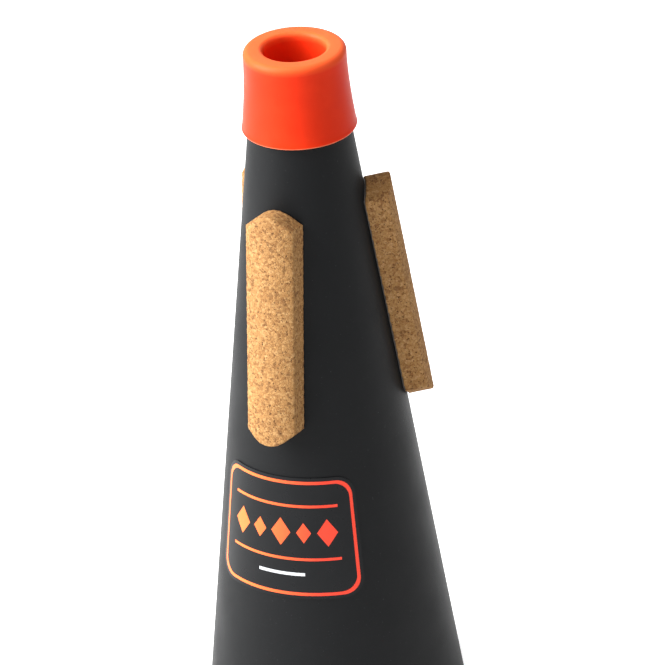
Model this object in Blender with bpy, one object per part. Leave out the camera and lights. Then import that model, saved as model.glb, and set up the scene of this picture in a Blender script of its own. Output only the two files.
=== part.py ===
"""Straight mute for a trumpet, standing on its wide end: a moulded cone closed by an end plate,
three cork strips glued round it, a wrapped label, and a soft bumper cap pushed on the narrow end.

Metres, +Z up. The origin is the middle of the standing face. The label and the first strip face -Y.
"""

import math

import bmesh
import bpy
from mathutils import Matrix, Vector

# Cone
TOTAL_HEIGHT = 0.180
BASE_RADIUS = 0.0325
TIP_RADIUS = 0.0107
WALL = 0.0018
NECK_WALL = 0.0014
NECK_LENGTH = 0.0135
NECK_BLEND_LENGTH = 0.010
NECK_BLEND_ROUNDING = 0.008
TIP_ROUNDING = 0.0004

# End plate, which closes the wide end
FLANGE_THICKNESS = 0.0030
FLANGE_ROUNDING = 0.0016
PLATE_THICKNESS = 0.0022
STANDING_RING_WIDTH = 0.0075
RECESS_DEPTH = 0.0009
RECESS_SLOPE = 0.0012
SPIGOT_HEIGHT = 0.0060
SPIGOT_WALL = 0.0018
SPIGOT_ROUNDING = 0.0005
PLATE_FILLET = 0.0010
GROOVE_DEPTH = 0.0008
GROOVE_HEIGHT = 0.0024

# Bumper cap
CAP_HEIGHT = 0.0214
CAP_ROOF = 0.0040
CAP_SKIRT_WALL = 0.00112
CAP_SHOULDER = 0.00124
CAP_SHOULDER_POWER = 2.5
CAP_LIP_STEP = 0.00035
CAP_LIP_HEIGHT = 0.0010
CAP_LIP_ROUNDING = 0.0005
CAP_TOP_ROUNDING = 0.0016
CAP_BORE_ROUNDING = 0.0011
CAP_INNER_WALL = 0.0011
CAP_INNER_LENGTH = 0.0095

# Cork strips
STRIP_TURNS = (0.0, 120.0, 235.0)
STRIP_LENGTH = 0.0598
STRIP_WIDTH = 0.0127
STRIP_THICKNESS = 0.0068
STRIP_CROWN_RADIUS = 0.0120
STRIP_END_ANGLE = math.radians(38)
STRIP_TIP_RADIUS = 0.0062
STRIP_EASED_EDGE = 0.0003
STRIP_FROM_TIP = 0.0333
ADHESIVE_THICKNESS = 0.0002
ADHESIVE_INSET = 0.0005

# Label
LABEL_WIDTH = 0.0400
LABEL_LENGTH = 0.0320
LABEL_CORNER = 0.0050
LABEL_BELOW_STRIP = 0.0101
LABEL_THICKNESS = 0.00015

# Fits
FIT_GAP = 0.0003
FILM_GAP = 0.0001
BEAD_GAP = 0.00015

ROUND_STEPS = 64
ARC_STEPS = 4
SMALL_ARC_STEPS = 2
SMALL_ROUNDING = 0.0006
SKIRT_STEPS = 6
STRIP_COLUMNS = 9
STRIP_ROWS = 5
LABEL_COLUMNS = 17
SHARP_ANGLE = math.radians(35)
WELD_DISTANCE = 1e-6

tip_z = TOTAL_HEIGHT - CAP_ROOF - FIT_GAP
cone_foot_z = FLANGE_THICKNESS + FIT_GAP
cone_slope = (BASE_RADIUS - TIP_RADIUS) / tip_z
cone_angle = math.atan(cone_slope)
apex_z = BASE_RADIUS / cone_slope
strip_start = (apex_z - tip_z + STRIP_FROM_TIP) / math.cos(cone_angle)
label_start = strip_start + STRIP_LENGTH + LABEL_BELOW_STRIP


def cone_radius(z):
    """Outer radius of the cone at a height."""
    return BASE_RADIUS - cone_slope * z


def hollow_radius(z):
    """Radius of the cone's hollow at a height below the neck."""
    return cone_radius(z) - WALL


def spigot_radius(z):
    """Outside of the end plate's spigot at a height."""
    return hollow_radius(z) - FIT_GAP


def spread(low, high, count):
    """Evenly spaced numbers, ends included."""
    return [low + (high - low) * i / (count - 1) for i in range(count)]


def material(name, colour, roughness):
    made = bpy.data.materials.new(name)
    made.use_nodes = True
    shader = made.node_tree.nodes["Principled BSDF"]
    shader.inputs["Base Color"].default_value = (*colour, 1.0)
    shader.inputs["Roughness"].default_value = roughness
    return made


def mesh_data(name, mesh, made_of):
    """Turns a bmesh into mesh data with its faces pointing out and its round faces shaded smooth."""
    bmesh.ops.recalc_face_normals(mesh, faces=mesh.faces)
    if mesh.calc_volume(signed=True) < 0:
        bmesh.ops.reverse_faces(mesh, faces=mesh.faces)
    data = bpy.data.meshes.new(name)
    mesh.to_mesh(data)
    mesh.free()
    data.shade_smooth()
    data.set_sharp_from_angle(angle=SHARP_ANGLE)
    data.materials.append(made_of)
    return data


def place(name, data, turn=0.0):
    """Adds an object at the origin, turned about the mute's axis."""
    piece = bpy.data.objects.new(name, data)
    piece.rotation_euler.z = turn
    bpy.context.scene.collection.objects.link(piece)


def outline(corners):
    """Points of an outline given as (radius, height, rounding) corners, with arcs at the rounded ones."""
    points = []
    for i, (radius, height, rounding) in enumerate(corners):
        here = Vector((radius, height))
        if not rounding:
            points.append(here)
            continue
        before = (Vector(corners[i - 1][:2]) - here).normalized()
        after = (Vector(corners[(i + 1) % len(corners)][:2]) - here).normalized()
        half = before.angle(after) / 2
        centre = here + (before + after).normalized() * rounding / math.sin(half)
        first = here + before * rounding / math.tan(half) - centre
        last = here + after * rounding / math.tan(half) - centre
        sweep = -first.angle_signed(last)
        steps = SMALL_ARC_STEPS if rounding < SMALL_ROUNDING else ARC_STEPS
        for step in range(steps + 1):
            points.append(centre + Matrix.Rotation(sweep * step / steps, 2) @ first)
    return points


def turned(points, closed=True):
    """Turns an outline of (radius, height) points about Z. An open outline starts and ends on the axis."""
    mesh = bmesh.new()
    corners = [mesh.verts.new((radius, 0.0, height)) for radius, height in points]
    pairs = list(zip(corners, corners[1:]))
    if closed:
        pairs.append((corners[-1], corners[0]))
    edges = [mesh.edges.new(pair) for pair in pairs]
    bmesh.ops.spin(
        mesh, geom=corners + edges, axis=(0, 0, 1), angle=math.tau, steps=ROUND_STEPS, use_merge=True
    )
    bmesh.ops.remove_doubles(mesh, verts=mesh.verts, dist=WELD_DISTANCE)
    return mesh


def slab(columns, inner, outer):
    """A closed solid between two surfaces, over columns of (across, positions down the cone's side).

    A surface gives the point at (across, down, whether it lies on the rim).
    """
    mesh = bmesh.new()
    last_column = len(columns) - 1
    last_row = len(columns[0][1]) - 1
    sheets = []
    for surface in (inner, outer):
        sheet = []
        for i, (across, positions) in enumerate(columns):
            sheet.append([
                mesh.verts.new(surface(across, down, i in (0, last_column) or j in (0, last_row)))
                for j, down in enumerate(positions)
            ])
        sheets.append(sheet)
        for a, b in zip(sheet, sheet[1:]):
            for j in range(last_row):
                mesh.faces.new((a[j], b[j], b[j + 1], a[j + 1]))
    under, over = sheets
    for i in (0, last_column):
        for j in range(last_row):
            mesh.faces.new((under[i][j], under[i][j + 1], over[i][j + 1], over[i][j]))
    for j in (0, last_row):
        for i in range(last_column):
            mesh.faces.new((under[i][j], under[i + 1][j], over[i + 1][j], over[i][j]))
    return mesh


def body_cone():
    """The moulded shell. Its neck is bored straight, so that the cap's inner skirt slides in."""
    neck_radius = TIP_RADIUS - NECK_WALL
    neck_foot = tip_z - NECK_LENGTH
    blend_foot = neck_foot - NECK_BLEND_LENGTH
    return turned(outline([
        (hollow_radius(cone_foot_z), cone_foot_z, 0),
        (cone_radius(cone_foot_z), cone_foot_z, 0),
        (TIP_RADIUS, tip_z, TIP_ROUNDING),
        (neck_radius, tip_z, TIP_ROUNDING),
        (neck_radius, neck_foot, NECK_BLEND_ROUNDING),
        (hollow_radius(blend_foot), blend_foot, NECK_BLEND_ROUNDING),
    ]))


def groove_span():
    """Lowest and highest height of the groove, which runs round the middle of the spigot."""
    middle = FLANGE_THICKNESS + SPIGOT_HEIGHT / 2
    return middle - GROOVE_HEIGHT / 2, middle + GROOVE_HEIGHT / 2


def end_plate():
    """The plate that closes the wide end: a flange under the cone, and a spigot with a glue groove in it."""
    plate_top = RECESS_DEPTH + PLATE_THICKNESS
    spigot_top = FLANGE_THICKNESS + SPIGOT_HEIGHT
    groove_low, groove_high = groove_span()
    recess_radius = BASE_RADIUS - FLANGE_ROUNDING - STANDING_RING_WIDTH
    spigot_inside = spigot_radius(spigot_top) - SPIGOT_WALL - GROOVE_DEPTH
    return turned(outline([
        (0.0, RECESS_DEPTH, 0),
        (recess_radius - RECESS_SLOPE, RECESS_DEPTH, 0),
        (recess_radius, 0.0, 0),
        (BASE_RADIUS, 0.0, FLANGE_ROUNDING),
        (cone_radius(FLANGE_THICKNESS), FLANGE_THICKNESS, 0),
        (spigot_radius(FLANGE_THICKNESS), FLANGE_THICKNESS, 0),
        (spigot_radius(groove_low), groove_low, 0),
        (spigot_radius(groove_low) - GROOVE_DEPTH, groove_low, 0),
        (spigot_radius(groove_high) - GROOVE_DEPTH, groove_high, 0),
        (spigot_radius(groove_high), groove_high, 0),
        (spigot_radius(spigot_top), spigot_top, SPIGOT_ROUNDING),
        (spigot_inside, spigot_top, SPIGOT_ROUNDING),
        (spigot_inside, plate_top, PLATE_FILLET),
        (0.0, plate_top, 0),
    ]), closed=False)


def plate_glue_bead():
    """The bead of adhesive that fills the spigot's groove, which holds the plate and seals it."""
    groove_low, groove_high = groove_span()
    low = groove_low + BEAD_GAP
    high = groove_high - BEAD_GAP
    reach = FIT_GAP + GROOVE_DEPTH - BEAD_GAP
    return turned([
        (hollow_radius(low) - reach, low),
        (hollow_radius(low) - BEAD_GAP, low),
        (hollow_radius(high) - BEAD_GAP, high),
        (hollow_radius(high) - reach, high),
    ])


def bumper_cap():
    """The soft cap. Its channel takes the neck's wall, between a long outer skirt and a short inner one."""
    foot = TOTAL_HEIGHT - CAP_HEIGHT
    lip_top = foot + CAP_LIP_HEIGHT
    roof = TOTAL_HEIGHT - CAP_ROOF
    inner_radius = TIP_RADIUS - NECK_WALL - FIT_GAP
    bore_radius = inner_radius - CAP_INNER_WALL
    inner_foot = roof - CAP_INNER_LENGTH

    def skirt_radius(z):
        below_top = (TOTAL_HEIGHT - z) / (TOTAL_HEIGHT - lip_top)
        shoulder = CAP_SHOULDER * (1 - below_top) ** CAP_SHOULDER_POWER
        return cone_radius(z) + FIT_GAP + CAP_SKIRT_WALL + shoulder

    heights = spread(lip_top, TOTAL_HEIGHT - 2 * CAP_TOP_ROUNDING, SKIRT_STEPS)
    return turned(outline([
        (bore_radius, inner_foot, 0),
        (inner_radius, inner_foot, 0),
        (inner_radius, roof, 0),
        (cone_radius(roof) + FIT_GAP, roof, 0),
        (cone_radius(foot) + FIT_GAP, foot, 0),
        (skirt_radius(lip_top) + CAP_LIP_STEP, foot, CAP_LIP_ROUNDING),
        *[(skirt_radius(z), z, 0) for z in heights],
        (skirt_radius(TOTAL_HEIGHT), TOTAL_HEIGHT, CAP_TOP_ROUNDING),
        (bore_radius, TOTAL_HEIGHT, CAP_BORE_ROUNDING),
    ]))


def height_over_side(down, across, lift):
    """How far a surface that lies lift outside the cone stands over the strip's middle line."""
    sine = math.sin(cone_angle)
    cosine = math.cos(cone_angle)
    radius = down * sine
    shell = radius + lift / cosine
    a = cosine ** 2 - (sine * cone_slope) ** 2
    b = radius * cosine + sine * cone_slope * shell
    c = radius ** 2 + across ** 2 - shell ** 2
    return (math.sqrt(b * b - a * c) - b) / a


def on_side(down, across, outward):
    """The point that lies so far down the front of the cone from its apex, across it and out from it."""
    radius = down * math.sin(cone_angle) + outward * math.cos(cone_angle)
    return Vector((across, -radius, apex_z - down * math.cos(cone_angle) + outward * math.sin(cone_angle)))


def end_fall(across):
    """How far a strip's end falls back from its round tip, beside which it runs straight to the corners."""
    flank = STRIP_TIP_RADIUS * math.sin(STRIP_END_ANGLE)
    if abs(across) < flank:
        return STRIP_TIP_RADIUS - math.sqrt(STRIP_TIP_RADIUS ** 2 - across ** 2)
    tip = STRIP_TIP_RADIUS * (1 - math.cos(STRIP_END_ANGLE))
    return tip + (abs(across) - flank) * math.tan(STRIP_END_ANGLE)


def strip_columns(inset, edge):
    """Columns over a strip. The first and last ones lie edge apart from their neighbours."""
    half = STRIP_WIDTH / 2 - inset
    columns = []
    for across in [-half, *spread(edge - half, half - edge, STRIP_COLUMNS), half]:
        sag = end_fall(across)
        start = strip_start + inset + sag
        end = strip_start + STRIP_LENGTH - inset - sag
        columns.append((across, [start, *spread(start + edge, end - edge, STRIP_ROWS), end]))
    return columns


def cork_strip():
    """A strip of cork: hollow behind to fit the cone, crowned in front, with eased edges and round ends."""
    def back(across, down, on_rim):
        return on_side(down, across, height_over_side(down, across, 2 * FILM_GAP + ADHESIVE_THICKNESS))

    def front(across, down, on_rim):
        fall = STRIP_CROWN_RADIUS - math.sqrt(STRIP_CROWN_RADIUS ** 2 - across ** 2)
        return on_side(down, across, STRIP_THICKNESS - fall - (STRIP_EASED_EDGE if on_rim else 0))

    return slab(strip_columns(0, STRIP_EASED_EDGE), back, front)


def cork_adhesive():
    """The film of adhesive between a strip and the cone."""
    def sheet(lift):
        return lambda across, down, on_rim: on_side(down, across, height_over_side(down, across, lift))

    columns = strip_columns(ADHESIVE_INSET, STRIP_EASED_EDGE)
    return slab(columns, sheet(FILM_GAP), sheet(FILM_GAP + ADHESIVE_THICKNESS))


def label_film():
    """The label, a thin film with round corners wrapped on the cone below the first strip."""
    sine = math.sin(cone_angle)
    cosine = math.cos(cone_angle)
    middle_radius = (label_start + LABEL_LENGTH / 2) * sine
    straight = LABEL_WIDTH / 2 - LABEL_CORNER
    corner = []
    for turn in spread(0, math.pi / 2, ARC_STEPS + 1)[1:]:
        corner.append((straight + LABEL_CORNER * math.sin(turn), LABEL_CORNER * (1 - math.cos(turn))))
    spans = [(-across, cut) for across, cut in reversed(corner)]
    spans += [(across, 0.0) for across in spread(-straight, straight, LABEL_COLUMNS)]
    spans += corner
    columns = []
    for across, cut in spans:
        columns.append((across, [label_start + cut, label_start + LABEL_LENGTH - cut]))

    def sheet(lift):
        def point(across, down, on_rim):
            angle = across / middle_radius
            radius = down * sine + lift * cosine
            height = apex_z - down * cosine + lift * sine
            return Vector((radius * math.sin(angle), -radius * math.cos(angle), height))
        return point

    return slab(columns, sheet(FILM_GAP), sheet(FILM_GAP + LABEL_THICKNESS))


def build():
    for old in list(bpy.data.objects):
        bpy.data.objects.remove(old)
    black = material("moulded_black", (0.028, 0.030, 0.033), 0.55)
    orange = material("bumper_orange", (0.83, 0.10, 0.03), 0.42)
    cork = material("cork", (0.55, 0.34, 0.17), 0.85)
    glue = material("adhesive", (0.62, 0.56, 0.42), 0.5)
    film = material("label_film", (0.015, 0.017, 0.020), 0.25)
    place("body_cone", mesh_data("body_cone", body_cone(), black))
    place("end_plate", mesh_data("end_plate", end_plate(), black))
    place("plate_glue_bead", mesh_data("plate_glue_bead", plate_glue_bead(), glue))
    place("bumper_cap", mesh_data("bumper_cap", bumper_cap(), orange))
    strip = mesh_data("cork_strip", cork_strip(), cork)
    adhesive = mesh_data("cork_adhesive", cork_adhesive(), glue)
    for number, turn in enumerate(STRIP_TURNS, 1):
        place(f"cork_strip_{number}", strip, math.radians(turn))
        place(f"cork_adhesive_{number}", adhesive, math.radians(turn))
    place("label_film", mesh_data("label_film", label_film(), film))


build()
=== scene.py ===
"""Looks of the trumpet straight mute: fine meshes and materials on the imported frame, in a white studio.

Metres. The mute's axis is Z, its foot is at z 0, and its first cork strip and label face -Y. Sizes repeat
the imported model's, so that each piece lies where the node that it stands for lies.
"""

import math

import bmesh
import bpy
from mathutils import Matrix, Vector, noise


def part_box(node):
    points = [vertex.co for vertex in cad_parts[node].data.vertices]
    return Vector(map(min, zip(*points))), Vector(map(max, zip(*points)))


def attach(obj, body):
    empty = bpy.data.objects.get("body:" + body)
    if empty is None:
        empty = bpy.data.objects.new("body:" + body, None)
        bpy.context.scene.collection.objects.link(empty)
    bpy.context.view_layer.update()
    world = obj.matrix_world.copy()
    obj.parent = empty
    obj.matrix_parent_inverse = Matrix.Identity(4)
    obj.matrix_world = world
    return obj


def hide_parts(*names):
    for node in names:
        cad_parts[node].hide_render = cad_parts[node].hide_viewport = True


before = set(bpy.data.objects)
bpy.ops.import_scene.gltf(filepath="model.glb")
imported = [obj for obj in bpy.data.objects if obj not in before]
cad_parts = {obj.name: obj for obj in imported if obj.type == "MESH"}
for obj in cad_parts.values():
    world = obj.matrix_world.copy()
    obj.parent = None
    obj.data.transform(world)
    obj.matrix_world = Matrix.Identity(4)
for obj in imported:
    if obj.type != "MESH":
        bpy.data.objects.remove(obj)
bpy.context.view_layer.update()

# Cone
TOTAL_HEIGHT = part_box("bumper_cap")[1].z
TIP_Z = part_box("body_cone")[1].z
CONE_FOOT_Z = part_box("body_cone")[0].z
BASE_RADIUS = 0.0325
TIP_RADIUS = 0.0107
WALL = 0.0018
NECK_WALL = 0.0014
NECK_LENGTH = 0.0135
NECK_BLEND_LENGTH = 0.010
NECK_BLEND_ROUNDING = 0.008
TIP_ROUNDING = 0.0004
FOOT_ROUNDING = 0.0002
FIT_GAP = 0.0003

# End plate
FLANGE_THICKNESS = 0.0030
FLANGE_ROUNDING = 0.0016
PLATE_THICKNESS = 0.0022
STANDING_RING_WIDTH = 0.0075
RECESS_DEPTH = 0.0009
RECESS_SLOPE = 0.0012
SPIGOT_HEIGHT = 0.0060
SPIGOT_WALL = 0.0026
SPIGOT_ROUNDING = 0.0005
PLATE_FILLET = 0.0010
FLANGE_EDGE_ROUNDING = 0.0002
RECESS_FOOT_ROUNDING = 0.0003
RECESS_ROOF_ROUNDING = 0.0006

# Bumper cap
CAP_FOOT_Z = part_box("bumper_cap")[0].z
CAP_ROOF = 0.0040
CAP_SKIRT_WALL = 0.00112
CAP_SHOULDER = 0.00124
CAP_SHOULDER_POWER = 2.5
CAP_LIP_STEP = 0.00035
CAP_LIP_HEIGHT = 0.0010
CAP_LIP_ROUNDING = 0.00045
CAP_TOP_ROUNDING = 0.0016
CAP_BORE_ROUNDING = 0.0011
CAP_INNER_WALL = 0.0011
CAP_INNER_LENGTH = 0.0095
CAP_INNER_ROUNDING = 0.0003
CAP_MOUTH_ROUNDING = 0.0002
SKIRT_STEPS = 24
# Heights of two bands of painted light on the cap: a paler top, and a painted highlight along the lip's
# lower edge.
PAINTED_TOP_LIGHT_BAND = 0.0024
PAINTED_LIP_HIGHLIGHT_BAND = 0.0005

# Cork strips
STRIP_TURNS = (0.0, 120.0, 235.0)
STRIP_LENGTH = 0.0598
STRIP_WIDTH = 0.0127
STRIP_THICKNESS = 0.0068
STRIP_CROWN_RADIUS = 0.0120
STRIP_END_ANGLE = math.radians(38)
STRIP_TIP_RADIUS = 0.0062
STRIP_FROM_TIP = 0.0333
STRIP_LIFT = 0.0004
STRIP_COLUMNS = 25
STRIP_ROWS = 9
CORK_VOXEL = 0.00034
CORK_ALLOWANCE = 0.00013
GRAIN_SIZE = 0.0008
GRAIN_RELIEF = 0.00005
PIT_SIZE = 0.0012
PIT_DEPTH = 0.00022
PIT_THRESHOLD = 0.42
PIT_FULL_RISE = 0.4
GRANULES_PER_METRE = 1500
FINE_GRANULES_PER_METRE = 3600
HOLE_CELLS_PER_METRE = 1000
GRANULE_WARP = 0.0006

# Label
LABEL_WIDTH = 0.0400
LABEL_LENGTH = 0.0320
LABEL_CORNER = 0.0050
LABEL_BELOW_STRIP = 0.0101
LABEL_LIFT = 0.00010
LABEL_THICKNESS = 0.00015
LABEL_COLUMNS = 49
LABEL_CORNER_STEPS = 12
PRINT_THICKNESS = 0.00003
BORDER_INSET = 0.0009
BORDER_WIDTH = 0.0008
BORDER_CORNER_STEPS = 8
BORDER_STEP = 0.001
RULE_WIDTH = 0.030
RULE_THICKNESS = 0.0007
RULE_COLUMNS = 41
TOP_RULE_BELOW_MIDDLE = -0.0085
FOOT_RULE_BELOW_MIDDLE = 0.0055
WHITE_RULE_WIDTH = 0.012
WHITE_RULE_THICKNESS = 0.0008
WHITE_RULE_BELOW_MIDDLE = 0.0095
LOZENGE_COUNT = 5
LOZENGE_SPAN = 0.024
LOZENGES_BELOW_MIDDLE = -0.0015
LARGE_LOZENGE = 0.0026
SMALL_LOZENGE = 0.0019
LOZENGE_STRETCH = 1.4
LOZENGE_COLUMNS = 9
# The columns end just short of a lozenge's tips, where it would have no length.
LOZENGE_TIP = 0.999

# Camera, fitted to the photograph's outlines
FRAME_PIXELS = 665
METRES_PER_PIXEL = 0.000245
VIEW_AZIMUTH = math.radians(26.97)
VIEW_ELEVATION = math.radians(26.634)
VIEW_ROLL = math.radians(3.904)
VIEW_DISTANCE_PIXELS = 12500
AIM_POINT_Z = 0.1785
AIM_RIGHT_PIXELS = -38.02
AIM_UP_PIXELS = 280.208
SENSOR_MM = 36.0
VIEW_FAR_END = 100

# Studio
FLOOR_SIZE = 30
FLOOR_BELOW_FOOT = 0.0001
FLOOR_GREY = 0.86
FLOOR_WHITENING = 0.75
WORLD_LIGHT = 0.16
LAMPS_AIM_Z = 0.1

# Meshes
ROUND_STEPS = 256
ARC_STEPS = 10
SHARP_ANGLE = math.radians(40)
WELD_DISTANCE = 1e-7

cone_slope = (BASE_RADIUS - TIP_RADIUS) / TIP_Z
cone_angle = math.atan(cone_slope)
apex_z = BASE_RADIUS / cone_slope
strip_start = (apex_z - TIP_Z + STRIP_FROM_TIP) / math.cos(cone_angle)
label_start = strip_start + STRIP_LENGTH + LABEL_BELOW_STRIP
label_middle = label_start + LABEL_LENGTH / 2


def cone_radius(z):
    """The radius of the cone's outside at a height."""
    return BASE_RADIUS - cone_slope * z


def hollow_radius(z):
    """The radius of the hollow inside the cone at a height."""
    return cone_radius(z) - WALL


def spread(low, high, count):
    """So many numbers from low to high, evenly spaced."""
    return [low + (high - low) * i / (count - 1) for i in range(count)]


class Shader:
    """A small helper that adds nodes to a material and links them."""

    def __init__(self, name):
        self.made = bpy.data.materials.new(name)
        self.made.use_nodes = True
        self.tree = self.made.node_tree
        self.surface = self.tree.nodes["Principled BSDF"]
        self.place = self.tree.nodes.new("ShaderNodeTexCoord").outputs["Object"]

    def node(self, kind, inputs=None, **settings):
        made = self.tree.nodes.new("ShaderNode" + kind)
        for name, value in settings.items():
            setattr(made, name, value)
        for name, value in (inputs or {}).items():
            self.put(value, made.inputs[name])
        return made

    def put(self, value, socket):
        if isinstance(value, bpy.types.NodeSocket):
            self.tree.links.new(value, socket)
        else:
            socket.default_value = value

    def set(self, **inputs):
        for name, value in inputs.items():
            self.put(value, self.surface.inputs[name.replace("_", " ")])

    def noise(self, scale, detail=3.0, roughness=0.55):
        inputs = {"Vector": self.place, "Scale": scale, "Detail": detail, "Roughness": roughness}
        return self.node("TexNoise", inputs).outputs["Fac"]

    def cells(self, place, scale, feature="F1"):
        return self.node("TexVoronoi", {"Vector": place, "Scale": scale}, feature=feature)

    def part(self, colour, channel):
        return self.node("SeparateColor", {"Color": colour}).outputs[channel]

    def along(self, axis, start, end):
        """Runs from 0 to 1 while an object coordinate goes from start to end."""
        value = self.node("SeparateXYZ", {"Vector": self.place}).outputs[axis]
        return self.node("MapRange", {"Value": value, "From Min": start, "From Max": end}).outputs[0]

    def ramp(self, value, *stops):
        """Blends through (place, colour) stops, where a colour may be one grey number."""
        made = self.node("ValToRGB", {"Fac": value})
        marks = made.color_ramp.elements
        while len(marks) < len(stops):
            marks.new(0.5)
        for mark, (place, colour) in zip(marks, stops):
            mark.position = place
            mark.color = (*colour, 1.0) if isinstance(colour, tuple) else (colour, colour, colour, 1.0)
        return made.outputs["Color"]

    def mix(self, share, first, second, blend="MIX"):
        made = self.node("Mix", data_type="RGBA", blend_type=blend)
        self.put(share, made.inputs[0])
        for value, socket in ((first, made.inputs[6]), (second, made.inputs[7])):
            self.put((*value, 1.0) if isinstance(value, tuple) else value, socket)
        return made.outputs[2]

    def maths(self, operation, first, second=0.0):
        made = self.node("Math", operation=operation)
        self.put(first, made.inputs[0])
        self.put(second, made.inputs[1])
        return made.outputs[0]

    def bump(self, height, strength, distance, under=None):
        inputs = {"Height": height, "Strength": strength, "Distance": distance}
        if under:
            inputs["Normal"] = under
        return self.node("Bump", inputs).outputs["Normal"]


def shell_material(name):
    """Soft matte black moulding: a fine even grain, faint cloudiness and a few pale specks."""
    shader = Shader(name)
    cloud = shader.noise(38, 4)
    base = shader.ramp(cloud, (0.3, (0.0056, 0.0060, 0.0066)), (0.75, (0.0074, 0.0079, 0.0086)))
    specks = shader.ramp(shader.noise(2600, 1), (0.74, 0.0), (0.80, 1.0))
    base = shader.mix(shader.maths("MULTIPLY", specks, 0.35), base, (0.085, 0.088, 0.092))
    rough = shader.ramp(shader.noise(90, 5), (0.25, 0.46), (0.8, 0.56))
    grain = shader.noise(5200, 2)
    shader.set(Base_Color=base, Roughness=rough, Specular_IOR_Level=0.11)
    shader.set(Normal=shader.bump(grain, 0.22, 0.00012))
    return shader.made


def bumper_material():
    """Satin orange elastomer, a little translucent, with a faint moulded texture, a painted lighter top
    band and a painted highlight along the lip.
    """
    shader = Shader("bumper_rubber")
    cloud = shader.noise(120, 3)
    side = shader.ramp(cloud, (0.3, (0.76, 0.030, 0.0055)), (0.75, (0.83, 0.038, 0.0075)))
    # Painted light: the cap's top band is painted paler orange, as the lamps above would light it.
    painted_top_light = shader.along("Z", TOTAL_HEIGHT - PAINTED_TOP_LIGHT_BAND, TOTAL_HEIGHT)
    # Painted highlight: a pale band along the lip's lower edge stands for the bright line that the lip
    # catches.
    painted_lip_highlight = shader.along("Z", CAP_FOOT_Z + PAINTED_LIP_HIGHLIGHT_BAND, CAP_FOOT_Z)
    base = shader.mix(shader.maths("MULTIPLY", painted_top_light, 0.9), side, (1.0, 0.145, 0.038))
    base = shader.mix(shader.maths("MULTIPLY", painted_lip_highlight, 0.9), base, (1.0, 0.33, 0.16))
    dust = shader.ramp(shader.noise(1900, 1), (0.76, 0.0), (0.82, 1.0))
    base = shader.mix(shader.maths("MULTIPLY", dust, 0.10), base, (0.95, 0.30, 0.16))
    rough = shader.ramp(shader.noise(240, 4), (0.3, 0.36), (0.75, 0.45))
    shader.set(Base_Color=base, Roughness=rough, Specular_IOR_Level=0.08)
    shader.set(Subsurface_Weight=0.15, Subsurface_Scale=0.003)
    shader.surface.inputs["Subsurface Radius"].default_value = (1.0, 0.35, 0.15)
    shader.set(Normal=shader.bump(shader.noise(2600, 2), 0.10, 0.0001))
    return shader.made


def cork_material():
    """Agglomerated cork: granules of mixed tans, holes and fine specks darkened as painted pit shade, and
    darker seams.
    """
    shader = Shader("cork")
    warp = shader.node("TexNoise", {"Vector": shader.place, "Scale": 900.0, "Detail": 2.0})
    shift = shader.node("VectorMath", {0: warp.outputs["Color"]}, operation="SCALE")
    shift.inputs["Scale"].default_value = GRANULE_WARP
    place = shader.node("VectorMath", {0: shader.place, 1: shift.outputs[0]}, operation="ADD")
    bent = place.outputs[0]
    coarse = shader.cells(bent, GRANULES_PER_METRE)
    shade = shader.part(coarse.outputs["Color"], "Red")
    base = shader.ramp(
        shade,
        (0.0, (0.16, 0.060, 0.018)),
        (0.12, (0.34, 0.145, 0.042)),
        (0.35, (0.52, 0.255, 0.080)),
        (0.7, (0.62, 0.325, 0.112)),
        (1.0, (0.74, 0.430, 0.175)),
    )
    fine = shader.cells(bent, FINE_GRANULES_PER_METRE)
    fine_shade = shader.part(fine.outputs["Color"], "Green")
    fine_colour = shader.ramp(fine_shade, (0.0, (0.34, 0.150, 0.045)), (1.0, (0.72, 0.410, 0.160)))
    base = shader.mix(0.40, base, fine_colour)
    edge = shader.cells(bent, GRANULES_PER_METRE, "DISTANCE_TO_EDGE").outputs["Distance"]
    seam = shader.ramp(edge, (0.0, 1.0), (0.10, 0.0))
    base = shader.mix(shader.maths("MULTIPLY", seam, 0.35), base, (0.30, 0.145, 0.055))
    # Painted shade: the chosen cells are darkened almost to black, standing for the shade inside holes.
    holes = shader.cells(bent, HOLE_CELLS_PER_METRE)
    chosen = shader.ramp(shader.part(holes.outputs["Color"], "Blue"), (0.5, 0.0), (0.6, 1.0))
    near = shader.ramp(holes.outputs["Distance"], (0.15, 1.0), (0.25, 0.0))
    painted_hole_shade = shader.maths("MULTIPLY", near, chosen)
    base = shader.mix(shader.maths("MULTIPLY", painted_hole_shade, 0.85), base, (0.085, 0.030, 0.010))
    # Painted shade: fine dark specks stand for the shade in the cork's small pits.
    painted_pit_shade = shader.ramp(shader.noise(2300, 3, 0.6), (0.60, 0.0), (0.66, 1.0))
    base = shader.mix(shader.maths("MULTIPLY", painted_pit_shade, 0.85), base, (0.075, 0.028, 0.010))
    broad = shader.ramp(shader.noise(60, 2), (0.3, 0.69), (0.7, 0.82))
    base = shader.mix(1.0, base, broad, "MULTIPLY")
    shader.set(Base_Color=base, Roughness=0.82, Specular_IOR_Level=0.25)
    relief = shader.bump(shader.ramp(edge, (0.0, 0.0), (0.16, 1.0)), 0.45, 0.00012)
    shader.set(Normal=shader.bump(shader.noise(4200, 3), 0.35, 0.00012, relief))
    return shader.made


def adhesive_material():
    """Set adhesive, dull amber and a little uneven."""
    shader = Shader("set_adhesive")
    base = shader.ramp(shader.noise(700, 3), (0.3, (0.055, 0.040, 0.026)), (0.7, (0.095, 0.070, 0.045)))
    shader.set(Base_Color=base, Roughness=0.4, Normal=shader.bump(shader.noise(1500, 2), 0.2, 0.0001))
    return shader.made


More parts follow.
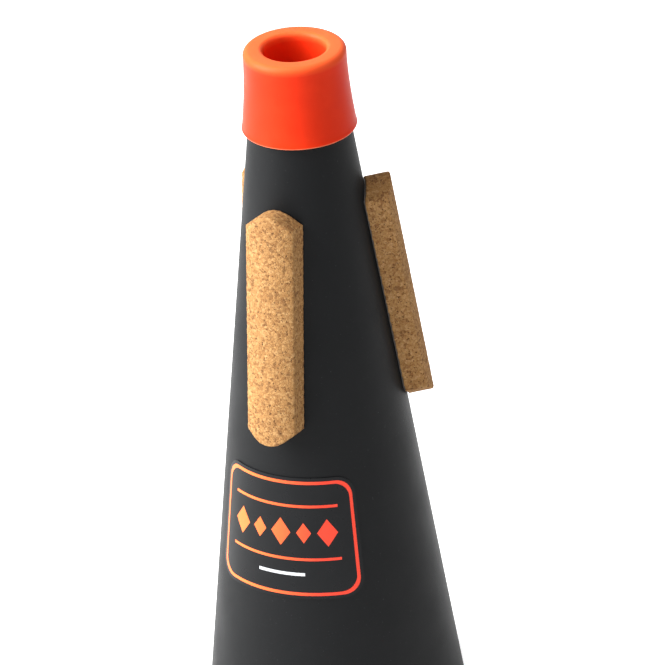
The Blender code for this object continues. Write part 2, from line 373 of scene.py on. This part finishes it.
def film_material():
    """The label's glossy dark film, with a slight waviness."""
    shader = Shader("label_film")
    cloud = shader.noise(200, 3)
    base = shader.ramp(cloud, (0.3, (0.0030, 0.0034, 0.0042)), (0.7, (0.0044, 0.0048, 0.0058)))
    rough = shader.ramp(shader.noise(350, 3), (0.3, 0.26), (0.7, 0.34))
    shader.set(Base_Color=base, Roughness=rough, Specular_IOR_Level=0.15)
    shader.set(Normal=shader.bump(shader.noise(160, 2), 0.06, 0.0004))
    return shader.made


def foil_material(name, left, right):
    """Printed foil whose colour runs from one at the label's left side to another at its right side:
    painted light, paler on the left where the key lamp falls and darker on the shaded right.
    """
    shader = Shader(name)
    # Painted light: the print is coloured lit on the left and shaded on the right.
    painted_light_across = shader.along("X", -LABEL_WIDTH / 2, LABEL_WIDTH / 2)
    base = shader.ramp(painted_light_across, (0.2, left), (0.75, right))
    base = shader.mix(shader.maths("MULTIPLY", shader.noise(1400, 3), 0.25), base, right)
    rough = shader.ramp(shader.noise(900, 2), (0.3, 0.28), (0.7, 0.42))
    shader.set(Base_Color=base, Roughness=rough, Metallic=0.25)
    return shader.made


def finish_mesh(name, mesh, made_of, body, node):
    """Turns a bmesh into a smooth piece that rides on a body, and stands for a node if one is named."""
    bmesh.ops.recalc_face_normals(mesh, faces=mesh.faces)
    if mesh.calc_volume(signed=True) < 0:
        bmesh.ops.reverse_faces(mesh, faces=mesh.faces)
    data = bpy.data.meshes.new(name)
    mesh.to_mesh(data)
    mesh.free()
    data.shade_smooth()
    data.set_sharp_from_angle(angle=SHARP_ANGLE)
    data.materials.append(made_of)
    piece = bpy.data.objects.new(name, data)
    bpy.context.scene.collection.objects.link(piece)
    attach(piece, body)
    if node:
        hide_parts(node)
    return piece


def outline(corners):
    """Points of an outline given as (radius, height, rounding) corners, with arcs at the rounded ones."""
    points = []
    for i, (radius, height, rounding) in enumerate(corners):
        here = Vector((radius, height))
        if not rounding:
            points.append(here)
            continue
        before = (Vector(corners[i - 1][:2]) - here).normalized()
        after = (Vector(corners[(i + 1) % len(corners)][:2]) - here).normalized()
        half = before.angle(after) / 2
        centre = here + (before + after).normalized() * rounding / math.sin(half)
        first = here + before * rounding / math.tan(half) - centre
        last = here + after * rounding / math.tan(half) - centre
        sweep = -first.angle_signed(last)
        for step in range(ARC_STEPS + 1):
            points.append(centre + Matrix.Rotation(sweep * step / ARC_STEPS, 2) @ first)
    return points


def turned(points, closed=True):
    """Turns an outline of (radius, height) points about Z. An open outline starts and ends on the axis."""
    mesh = bmesh.new()
    corners = [mesh.verts.new((radius, 0.0, height)) for radius, height in points]
    pairs = list(zip(corners, corners[1:]))
    if closed:
        pairs.append((corners[-1], corners[0]))
    edges = [mesh.edges.new(pair) for pair in pairs]
    bmesh.ops.spin(
        mesh, geom=corners + edges, axis=(0, 0, 1), angle=math.tau, steps=ROUND_STEPS, use_merge=True
    )
    bmesh.ops.remove_doubles(mesh, verts=mesh.verts, dist=WELD_DISTANCE)
    return mesh


def make_shell(made_of):
    """The moulded cone, with its bare tip and the straight bore of its neck."""
    neck_radius = TIP_RADIUS - NECK_WALL
    neck_foot = TIP_Z - NECK_LENGTH
    blend_foot = neck_foot - NECK_BLEND_LENGTH
    mesh = turned(outline([
        (hollow_radius(CONE_FOOT_Z), CONE_FOOT_Z, 0),
        (cone_radius(CONE_FOOT_Z), CONE_FOOT_Z, FOOT_ROUNDING),
        (TIP_RADIUS, TIP_Z, TIP_ROUNDING),
        (neck_radius, TIP_Z, TIP_ROUNDING),
        (neck_radius, neck_foot, NECK_BLEND_ROUNDING),
        (hollow_radius(blend_foot), blend_foot, NECK_BLEND_ROUNDING),
    ]))
    finish_mesh("shell", mesh, made_of, "mute", "body_cone")


def make_end_plate(made_of):
    """The plate that closes the wide end, with its rounded flange and its recessed underside."""
    plate_top = RECESS_DEPTH + PLATE_THICKNESS
    spigot_top = FLANGE_THICKNESS + SPIGOT_HEIGHT
    recess_radius = BASE_RADIUS - FLANGE_ROUNDING - STANDING_RING_WIDTH
    spigot_outside = hollow_radius(spigot_top) - FIT_GAP
    spigot_inside = spigot_outside - SPIGOT_WALL
    mesh = turned(outline([
        (0.0, RECESS_DEPTH, 0),
        (recess_radius - RECESS_SLOPE, RECESS_DEPTH, RECESS_ROOF_ROUNDING),
        (recess_radius, 0.0, RECESS_FOOT_ROUNDING),
        (BASE_RADIUS, 0.0, FLANGE_ROUNDING),
        (cone_radius(FLANGE_THICKNESS), FLANGE_THICKNESS, FLANGE_EDGE_ROUNDING),
        (hollow_radius(FLANGE_THICKNESS) - FIT_GAP, FLANGE_THICKNESS, 0),
        (spigot_outside, spigot_top, SPIGOT_ROUNDING),
        (spigot_inside, spigot_top, SPIGOT_ROUNDING),
        (spigot_inside, plate_top, PLATE_FILLET),
        (0.0, plate_top, 0),
    ]), closed=False)
    finish_mesh("end_cover", mesh, made_of, "mute", "end_plate")


def make_bumper(made_of):
    """The soft cap, with its flared skirt, rolled lip, rounded rim and the channel that takes the neck."""
    lip_top = CAP_FOOT_Z + CAP_LIP_HEIGHT
    roof = TOTAL_HEIGHT - CAP_ROOF
    inner_radius = TIP_RADIUS - NECK_WALL - FIT_GAP
    bore_radius = inner_radius - CAP_INNER_WALL
    inner_foot = roof - CAP_INNER_LENGTH

    def skirt_radius(z):
        below_top = (TOTAL_HEIGHT - z) / (TOTAL_HEIGHT - lip_top)
        shoulder = CAP_SHOULDER * (1 - below_top) ** CAP_SHOULDER_POWER
        return cone_radius(z) + FIT_GAP + CAP_SKIRT_WALL + shoulder

    heights = spread(lip_top, TOTAL_HEIGHT - 2 * CAP_TOP_ROUNDING, SKIRT_STEPS)
    mesh = turned(outline([
        (bore_radius, inner_foot, CAP_INNER_ROUNDING),
        (inner_radius, inner_foot, CAP_INNER_ROUNDING),
        (inner_radius, roof, 0),
        (cone_radius(roof) + FIT_GAP, roof, 0),
        (cone_radius(CAP_FOOT_Z) + FIT_GAP, CAP_FOOT_Z, CAP_MOUTH_ROUNDING),
        (skirt_radius(lip_top) + CAP_LIP_STEP, CAP_FOOT_Z, CAP_LIP_ROUNDING),
        *[(skirt_radius(z), z, 0) for z in heights],
        (skirt_radius(TOTAL_HEIGHT), TOTAL_HEIGHT, CAP_TOP_ROUNDING),
        (bore_radius, TOTAL_HEIGHT, CAP_BORE_ROUNDING),
    ]))
    finish_mesh("bumper", mesh, made_of, "cap", "bumper_cap")


def height_over_side(down, across, lift):
    """How far a surface that lies lift outside the cone stands over the strip's middle line."""
    sine = math.sin(cone_angle)
    cosine = math.cos(cone_angle)
    radius = down * sine
    shell = radius + lift / cosine
    a = cosine ** 2 - (sine * cone_slope) ** 2
    b = radius * cosine + sine * cone_slope * shell
    c = radius ** 2 + across ** 2 - shell ** 2
    return (math.sqrt(b * b - a * c) - b) / a


def on_side(down, across, outward):
    """The point that lies so far down the front of the cone from its apex, across it and out from it."""
    radius = down * math.sin(cone_angle) + outward * math.cos(cone_angle)
    return Vector((across, -radius, apex_z - down * math.cos(cone_angle) + outward * math.sin(cone_angle)))


def slab(columns, inner, outer):
    """A closed solid between two surfaces, over columns of (across, positions down the cone's side)."""
    mesh = bmesh.new()
    last_column = len(columns) - 1
    last_row = len(columns[0][1]) - 1
    sheets = []
    for surface in (inner, outer):
        sheet = [[mesh.verts.new(surface(across, down)) for down in downs] for across, downs in columns]
        sheets.append(sheet)
        for a, b in zip(sheet, sheet[1:]):
            for j in range(last_row):
                mesh.faces.new((a[j], b[j], b[j + 1], a[j + 1]))
    under, over = sheets
    for i in (0, last_column):
        for j in range(last_row):
            mesh.faces.new((under[i][j], under[i][j + 1], over[i][j + 1], over[i][j]))
    for j in (0, last_row):
        for i in range(last_column):
            mesh.faces.new((under[i][j], under[i + 1][j], over[i + 1][j], over[i][j]))
    return mesh


def end_fall(across):
    """How far a strip's end falls back from its round tip, beside which it runs straight to the corners."""
    flank = STRIP_TIP_RADIUS * math.sin(STRIP_END_ANGLE)
    if abs(across) < flank:
        return STRIP_TIP_RADIUS - math.sqrt(STRIP_TIP_RADIUS ** 2 - across ** 2)
    tip = STRIP_TIP_RADIUS * (1 - math.cos(STRIP_END_ANGLE))
    return tip + (abs(across) - flank) * math.tan(STRIP_END_ANGLE)


def cork_block():
    """A strip's plain form: hollow behind to fit the cone, crowned in front, with round ends.

    It is cut a little full, because remeshing rounds its edges off.
    """
    half = STRIP_WIDTH / 2 + CORK_ALLOWANCE
    columns = []
    for across in spread(-half, half, STRIP_COLUMNS):
        start = strip_start - CORK_ALLOWANCE + end_fall(across)
        end = strip_start + STRIP_LENGTH + CORK_ALLOWANCE - end_fall(across)
        columns.append((across, spread(start, end, STRIP_ROWS)))

    def back(across, down):
        return on_side(down, across, height_over_side(down, across, STRIP_LIFT))

    def front(across, down):
        fall = STRIP_CROWN_RADIUS - math.sqrt(STRIP_CROWN_RADIUS ** 2 - across ** 2)
        return on_side(down, across, STRIP_THICKNESS - fall)

    return slab(columns, back, front)


def make_cork(number, made_of):
    """A strip remeshed finely, with the relief of its granules and a few torn-out pits."""
    name = f"cork_{number}"
    piece = finish_mesh(name, cork_block(), made_of, "mute", f"cork_strip_{number}")
    remesh = piece.modifiers.new("Fine", "REMESH")
    remesh.mode = "VOXEL"
    remesh.voxel_size = CORK_VOXEL
    graph = bpy.context.evaluated_depsgraph_get()
    fine = bpy.data.meshes.new_from_object(piece.evaluated_get(graph))
    piece.modifiers.clear()
    fine.shade_smooth()
    fine.transform(Matrix.Rotation(math.radians(STRIP_TURNS[number - 1]), 4, "Z"))
    offset = number * Vector((0.37, 0.11, 0.23))
    for point, normal in [(v, v.normal.copy()) for v in fine.vertices]:
        grain = noise.noise(point.co / GRAIN_SIZE + offset)
        pit = noise.noise(point.co / PIT_SIZE - offset)
        sink = max(0.0, pit - PIT_THRESHOLD) * PIT_DEPTH / PIT_FULL_RISE
        point.co += normal * (grain * GRAIN_RELIEF - sink - GRAIN_RELIEF)
    piece.data = fine


def on_cone(across, down, lift):
    """The point so far round the cone and down its side, lifted off it."""
    middle_radius = label_middle * math.sin(cone_angle)
    angle = across / middle_radius
    radius = down * math.sin(cone_angle) + lift * math.cos(cone_angle)
    height = apex_z - down * math.cos(cone_angle) + lift * math.sin(cone_angle)
    return Vector((radius * math.sin(angle), -radius * math.cos(angle), height))


def wrapped(name, columns, lift, thickness, made_of, node=None):
    """A thin plate wrapped on the cone."""
    mesh = slab(
        columns,
        lambda across, down: on_cone(across, down, lift),
        lambda across, down: on_cone(across, down, lift + thickness),
    )
    finish_mesh(name, mesh, made_of, "mute", node)


def rounded_loop(width, length, corner):
    """Points round a rounded rectangle, about its middle."""
    points = []
    for quarter, (x, y) in enumerate(((1, 1), (-1, 1), (-1, -1), (1, -1))):
        for step in range(BORDER_CORNER_STEPS + 1):
            turn = math.pi / 2 * (quarter + step / BORDER_CORNER_STEPS)
            points.append((
                x * (width / 2 - corner) + corner * math.cos(turn),
                y * (length / 2 - corner) + corner * math.sin(turn),
            ))
    dense = []
    for here, there in zip(points, points[1:] + points[:1]):
        steps = max(1, round(math.dist(here, there) / BORDER_STEP))
        dense += [
            (here[0] + (there[0] - here[0]) * i / steps, here[1] + (there[1] - here[1]) * i / steps)
            for i in range(steps)
        ]
    return dense


def printed_border(name, made_of):
    """A printed line that runs round the label, inset from its edge."""
    mesh = bmesh.new()
    low = LABEL_LIFT + LABEL_THICKNESS
    high = low + PRINT_THICKNESS
    half_width = LABEL_WIDTH / 2 - BORDER_INSET
    half_length = LABEL_LENGTH / 2 - BORDER_INSET
    outer = rounded_loop(2 * half_width, 2 * half_length, LABEL_CORNER - BORDER_INSET)
    loops = []
    for inward, height in ((0, low), (0, high), (BORDER_WIDTH, high), (BORDER_WIDTH, low)):
        narrower = (half_width - inward) / half_width
        shorter = (half_length - inward) / half_length
        loops.append([
            mesh.verts.new(on_cone(x * narrower, label_middle - y * shorter, height)) for x, y in outer
        ])
    count = len(loops[0])
    for a, b in zip(loops, loops[1:] + loops[:1]):
        for i in range(count):
            mesh.faces.new((a[i], a[(i + 1) % count], b[(i + 1) % count], b[i]))
    finish_mesh(name, mesh, made_of, "mute", None)


def make_label():
    """The dark film and its printing: an orange border, lozenges between two rules, and a white rule."""
    film = film_material()
    # Each foil's two colours are painted light: the first is its lit colour at the left, the second its
    # shaded colour at the right.
    orange = foil_material("orange_foil", (0.90, 0.195, 0.024), (0.80, 0.036, 0.007))
    white = foil_material("white_ink", (0.60, 0.62, 0.64), (0.56, 0.58, 0.60))
    straight = LABEL_WIDTH / 2 - LABEL_CORNER
    corner = []
    for turn in spread(0, math.pi / 2, LABEL_CORNER_STEPS + 1)[1:]:
        corner.append((straight + LABEL_CORNER * math.sin(turn), LABEL_CORNER * (1 - math.cos(turn))))
    spans = [(-across, cut) for across, cut in reversed(corner)]
    spans += [(across, 0.0) for across in spread(-straight, straight, LABEL_COLUMNS)]
    spans += corner
    columns = [(across, [label_start + cut, label_start + LABEL_LENGTH - cut]) for across, cut in spans]
    wrapped("label", columns, LABEL_LIFT, LABEL_THICKNESS, film, "label_film")
    printed_border("label_border", orange)
    lift = LABEL_LIFT + LABEL_THICKNESS

    def rule(name, width, below_middle, thickness, made_of):
        down = label_middle + below_middle
        edges = [down - thickness / 2, down + thickness / 2]
        bar = [(across, edges) for across in spread(-width / 2, width / 2, RULE_COLUMNS)]
        wrapped(name, bar, lift, PRINT_THICKNESS, made_of)

    rule("label_rule_top", RULE_WIDTH, TOP_RULE_BELOW_MIDDLE, RULE_THICKNESS, orange)
    rule("label_rule_foot", RULE_WIDTH, FOOT_RULE_BELOW_MIDDLE, RULE_THICKNESS, orange)
    rule("label_rule_white", WHITE_RULE_WIDTH, WHITE_RULE_BELOW_MIDDLE, WHITE_RULE_THICKNESS, white)
    down = label_middle + LOZENGES_BELOW_MIDDLE
    centres = spread(-LOZENGE_SPAN / 2, LOZENGE_SPAN / 2, LOZENGE_COUNT)
    for number, centre in enumerate(centres, 1):
        size = LARGE_LOZENGE if number % 2 else SMALL_LOZENGE
        lozenge = []
        for share in spread(-LOZENGE_TIP, LOZENGE_TIP, LOZENGE_COLUMNS):
            reach = size * LOZENGE_STRETCH * (1 - abs(share))
            lozenge.append((centre + share * size, [down - reach, down + reach]))
        wrapped(f"label_lozenge_{number}", lozenge, lift, PRINT_THICKNESS, orange)


def make_camera():
    """The camera that the photograph's outlines fit, all but parallel, a little rolled and aimed low."""
    away = Vector((
        math.sin(VIEW_AZIMUTH) * math.cos(VIEW_ELEVATION),
        -math.cos(VIEW_AZIMUTH) * math.cos(VIEW_ELEVATION),
        math.sin(VIEW_ELEVATION),
    ))
    level = Vector((math.cos(VIEW_AZIMUTH), math.sin(VIEW_AZIMUTH), 0.0))
    upright = away.cross(level)
    right = level * math.cos(VIEW_ROLL) - upright * math.sin(VIEW_ROLL)
    up = level * math.sin(VIEW_ROLL) + upright * math.cos(VIEW_ROLL)
    sideways = right * AIM_RIGHT_PIXELS + up * AIM_UP_PIXELS
    place = Vector((0, 0, AIM_POINT_Z)) + (away * VIEW_DISTANCE_PIXELS - sideways) * METRES_PER_PIXEL
    data = bpy.data.cameras.new("camera")
    data.sensor_width = SENSOR_MM
    data.lens = SENSOR_MM * VIEW_DISTANCE_PIXELS / FRAME_PIXELS
    data.clip_end = VIEW_FAR_END
    camera = bpy.data.objects.new("camera", data)
    bpy.context.scene.collection.objects.link(camera)
    turn = Matrix((right, up, away)).transposed().to_4x4()
    camera.matrix_world = Matrix.Translation(place) @ turn
    bpy.context.scene.camera = camera


def softbox(name, right_of_camera, elevation, distance, size, power):
    """A rectangular lamp aimed at the mute, placed round it by degrees right of the camera."""
    azimuth = VIEW_AZIMUTH + math.radians(right_of_camera)
    rise = math.radians(elevation)
    level = math.cos(rise)
    toward = Vector((math.sin(azimuth) * level, -math.cos(azimuth) * level, math.sin(rise)))
    data = bpy.data.lights.new(name, "AREA")
    data.shape = "RECTANGLE"
    data.size, data.size_y = size
    data.energy = power
    lamp = bpy.data.objects.new(name, data)
    lamp.location = Vector((0, 0, LAMPS_AIM_Z)) + toward * distance
    lamp.rotation_mode = "QUATERNION"
    lamp.rotation_quaternion = toward.to_track_quat("Z", "Y")
    bpy.context.scene.collection.objects.link(lamp)


def make_studio():
    """A pale floor, a world that the camera and reflections see as white, and three soft lamps."""
    world = bpy.data.worlds.new("studio")
    bpy.context.scene.world = world
    world.use_nodes = True
    tree = world.node_tree
    path = tree.nodes.new("ShaderNodeLightPath")
    seen = tree.nodes.new("ShaderNodeMath")
    seen.operation = "MAXIMUM"
    tree.links.new(path.outputs["Is Camera Ray"], seen.inputs[0])
    tree.links.new(path.outputs["Is Transmission Ray"], seen.inputs[1])
    white = tree.nodes.new("ShaderNodeMath")
    white.operation = "MAXIMUM"
    tree.links.new(seen.outputs[0], white.inputs[0])
    tree.links.new(path.outputs["Is Glossy Ray"], white.inputs[1])
    strength = tree.nodes.new("ShaderNodeMapRange")
    strength.inputs["To Min"].default_value = WORLD_LIGHT
    strength.inputs["To Max"].default_value = 1.0
    tree.links.new(white.outputs[0], strength.inputs["Value"])
    background = tree.nodes["Background"]
    background.inputs["Color"].default_value = (1.0, 1.0, 1.0, 1.0)
    tree.links.new(strength.outputs[0], background.inputs["Strength"])

    bpy.ops.mesh.primitive_plane_add(size=FLOOR_SIZE, location=(0, 0, -FLOOR_BELOW_FOOT))
    floor = bpy.context.object
    floor.name = "floor"
    shader = Shader("floor_paper")
    rays = shader.node("LightPath")
    seen = shader.maths("MAXIMUM", rays.outputs["Is Camera Ray"], rays.outputs["Is Glossy Ray"])
    whitening = shader.maths("MULTIPLY", seen, FLOOR_WHITENING)
    shader.set(Base_Color=(FLOOR_GREY, FLOOR_GREY, FLOOR_GREY, 1.0), Roughness=0.9, Specular_IOR_Level=0.0)
    shader.set(Emission_Color=(1.0, 1.0, 1.0, 1.0), Emission_Strength=whitening)
    floor.data.materials.append(shader.made)

    softbox("key", -80, 34, 0.9, (0.6, 0.8), 24.0)
    softbox("fill", 70, 25, 1.1, (0.6, 0.8), 1.6)
    softbox("top", -30, 78, 0.9, (0.6, 0.6), 2.6)


def main():
    make_camera()
    black = shell_material("shell_black")
    make_shell(black)
    make_end_plate(shell_material("end_plate_black"))
    make_bumper(bumper_material())
    cork = cork_material()
    for number in (1, 2, 3):
        make_cork(number, cork)
    make_label()
    adhesive = adhesive_material()
    for node in ("cork_adhesive_1", "cork_adhesive_2", "cork_adhesive_3", "plate_glue_bead"):
        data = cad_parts[node].data
        data.materials.clear()
        data.materials.append(adhesive)
    make_studio()
    bpy.context.scene.view_settings.view_transform = "Standard"


main()
